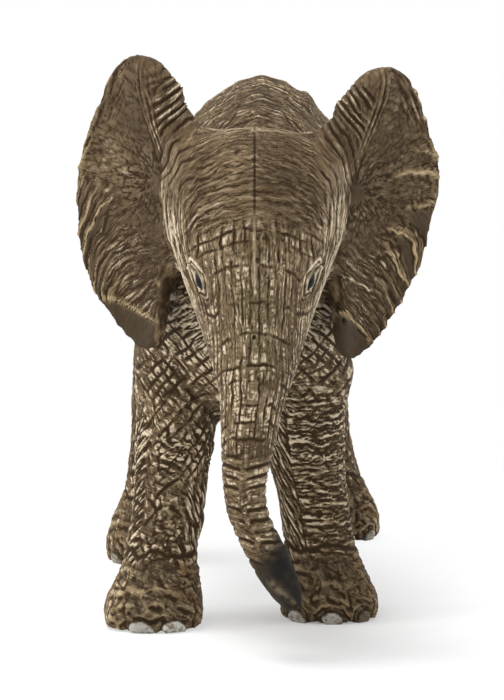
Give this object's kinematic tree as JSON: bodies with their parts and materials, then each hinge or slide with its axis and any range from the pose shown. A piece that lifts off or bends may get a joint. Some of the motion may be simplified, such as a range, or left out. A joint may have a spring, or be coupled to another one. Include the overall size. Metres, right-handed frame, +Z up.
{
  "type": "toy elephant calf figure",
  "caption": "Standing elephant calf figure in painted vinyl, ears spread, trunk hanging and swung to its left, legs in mid stride, glossy eyes; stands on its soles.",
  "frame": {"origin": "on the floor, under the middle of the figure's bounding box", "axes": "+X is the calf's left, -Y is the way it faces, +Z is up; the four soles stand on Z = 0"},
  "size_m": [0.0376, 0.085, 0.061],
  "materials": {
    "hide": "matte brown-grey painted vinyl, dark in the wrinkles and dry-brushed pale tan on the ridges",
    "ear_hide": "matte taupe painted vinyl with pale tan veins and dark lower tips",
    "eye": "glossy dark blue-grey"
  },
  "bodies": {
    "root": {"torso": "hide", "head": "hide", "foreleg_left": "hide", "foreleg_right": "hide", "hindleg_left": "hide", "hindleg_right": "hide", "tail": "hide", "ear_left": "ear_hide", "ear_right": "ear_hide", "eye_left": "eye", "eye_right": "eye"}
  },
  "joints": []
}
